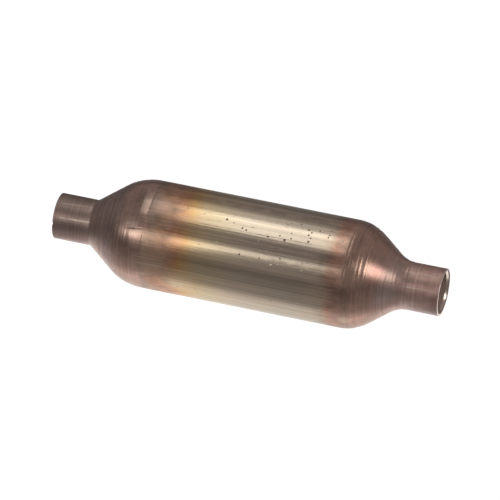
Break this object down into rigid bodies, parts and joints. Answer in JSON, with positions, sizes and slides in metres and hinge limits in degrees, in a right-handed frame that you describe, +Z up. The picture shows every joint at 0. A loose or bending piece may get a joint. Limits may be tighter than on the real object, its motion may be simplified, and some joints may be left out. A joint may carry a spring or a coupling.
{
  "type": "filter drier",
  "caption": "Spun copper in-line filter drier: a tube body with coned ends and brazing sockets, holding desiccant beads between two screens.",
  "frame": {"origin": "on the axis, half way between the two mouths", "axes": "+X along the axis from the inlet to the outlet, +Z up as it lies on its side"},
  "size_m": [0.0934, 0.0254, 0.0254],
  "materials": {
    "copper_shell": "satin",
    "brass_ring": "satin",
    "wire_cloth": "satin",
    "gauze": "satin",
    "desiccant": "matte"
  },
  "bodies": {
    "root": {"shell": "copper_shell", "inlet_screen_ring": "brass_ring", "inlet_screen": "wire_cloth", "desiccant_beads": "desiccant", "outlet_screen": "gauze", "outlet_screen_ring": "brass_ring"}
  },
  "joints": []
}
